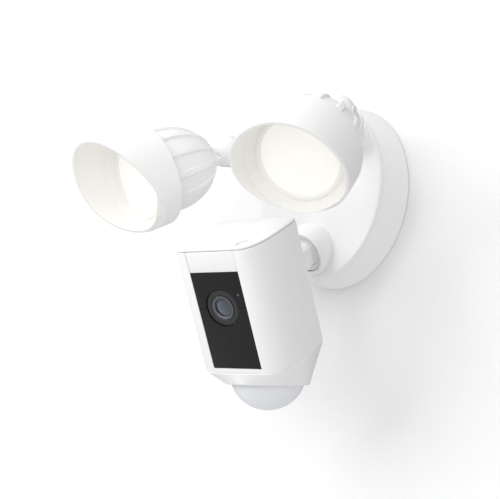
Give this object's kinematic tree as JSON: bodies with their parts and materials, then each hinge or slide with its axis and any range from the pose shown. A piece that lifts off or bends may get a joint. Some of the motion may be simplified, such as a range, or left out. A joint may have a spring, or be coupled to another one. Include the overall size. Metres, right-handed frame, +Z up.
{
  "type": "floodlight security camera",
  "caption": "Wall-mounted floodlight camera: round base, swivelling hooded LED floodlights and a camera with a sensor dome on a ball mount.",
  "frame": {"origin": "centre of the mounting bracket's back face, in the plane of the wall", "axes": "+Y into the wall, -Y the way the front of the base faces, +X to the right of someone facing the wall, +Z up"},
  "size_m": [0.2451, 0.1784, 0.2301],
  "materials": {
    "white_plastic": "satin moulded",
    "coated_metal": "satin powder coat",
    "black_plastic": "gloss",
    "black_component": "matt",
    "smoked_glass": "polished",
    "frosted_plastic": "frosted translucent",
    "diffuser": "frosted translucent",
    "mirror_finish": "bright plated",
    "steel": "zinc plated",
    "aluminium": "machined",
    "board": "solder mask",
    "nylon": "moulded",
    "rubber": "closed-cell foam",
    "phosphor": "matt"
  },
  "bodies": {
    "base": {"wall_gasket": "rubber", "base_housing": "white_plastic", "mounting_bracket": "steel", "base_screw_right": "steel", "base_screw_left": "steel", "base_cover": "white_plastic", "cover_screw_right": "steel", "cover_screw_left": "steel", "driver_board": "board", "driver_components": "black_component", "terminal_block": "nylon", "siren": "black_component", "ball_socket": "white_plastic", "arm_right": "white_plastic", "arm_left": "white_plastic", "arm_nut_right": "steel", "arm_nut_left": "steel"},
    "knuckle_right": {"knuckle_right": "white_plastic", "tilt_screw_right": "white_plastic"},
    "lamp_right": {"lamp_housing_right": "coated_metal", "hood_right": "coated_metal", "bezel_right": "white_plastic", "lens_right": "diffuser", "reflector_right": "mirror_finish", "led_board_right": "aluminium", "led_array_right": "phosphor", "heat_plate_right": "aluminium"},
    "knuckle_left": {"knuckle_left": "white_plastic", "tilt_screw_left": "white_plastic"},
    "lamp_left": {"lamp_housing_left": "coated_metal", "hood_left": "coated_metal", "bezel_left": "white_plastic", "lens_left": "diffuser", "reflector_left": "mirror_finish", "led_board_left": "aluminium", "led_array_left": "phosphor", "heat_plate_left": "aluminium"},
    "front_seat": {"front_seat_ring": "nylon"},
    "rear_seat": {"rear_seat_ring": "nylon"},
    "camera": {"ball_stem": "coated_metal", "camera_housing": "white_plastic", "top_cap": "white_plastic", "fascia_strip": "white_plastic", "front_panel": "black_plastic", "speaker_grille": "black_plastic", "light_sensor": "smoked_glass", "lens_barrel": "black_plastic", "lens_ring": "black_component", "lens_glass": "smoked_glass", "image_sensor_board": "board", "main_board": "board", "shield_can": "steel", "speaker": "black_component", "microphone": "black_component", "stem_clamp": "steel", "sensor_collar": "white_plastic", "sensor_dome": "frosted_plastic", "motion_sensor": "steel", "sensor_board": "board"},
    "button": {"setup_button": "white_plastic"}
  },
  "joints": [
    {"name": "lamp_swivel_right", "type": "hinge", "parent": "base", "child": "knuckle_right", "pos_m": [0.0595, -0.0602, 0.0386], "axis": [0.4612, -0.8711, 0.1685], "range_deg": [-35, 60]},
    {"name": "lamp_tilt_right", "type": "hinge", "parent": "knuckle_right", "child": "lamp_right", "pos_m": [0.0595, -0.0602, 0.0386], "axis": [0.8873, 0.4515, -0.0945], "range_deg": [-60, 7]},
    {"name": "lamp_swivel_left", "type": "hinge", "parent": "base", "child": "knuckle_left", "pos_m": [-0.0595, -0.0644, 0.0394], "axis": [0.4612, 0.8711, -0.1685], "range_deg": [-15, 80]},
    {"name": "lamp_tilt_left", "type": "hinge", "parent": "knuckle_left", "child": "lamp_left", "pos_m": [-0.0595, -0.0644, 0.0394], "axis": [0.8429, -0.3709, 0.3899], "range_deg": [-50, 30]},
    {"name": "camera_pan", "type": "hinge", "parent": "base", "child": "front_seat", "pos_m": [0, -0.032, -0.0432], "axis": [0, 0, 1], "range_deg": [-32, 12]},
    {"name": "camera_tilt", "type": "hinge", "parent": "front_seat", "child": "rear_seat", "pos_m": [0, -0.032, -0.0432], "axis": [0.9652, 0.2617, 0], "range_deg": [-7, 14]},
    {"name": "camera_roll", "type": "hinge", "parent": "rear_seat", "child": "camera", "pos_m": [0, -0.032, -0.0432], "axis": [0.176, -0.8426, -0.509], "range_deg": [-30, 30]},
    {"name": "setup_button_press", "type": "slide", "parent": "camera", "child": "button", "axis": [-0.2159, 0.4715, -0.855], "range_m": [0, 0.0008], "stiffness_N_per_m": 600, "springref_m": -0.0003}
  ]
}
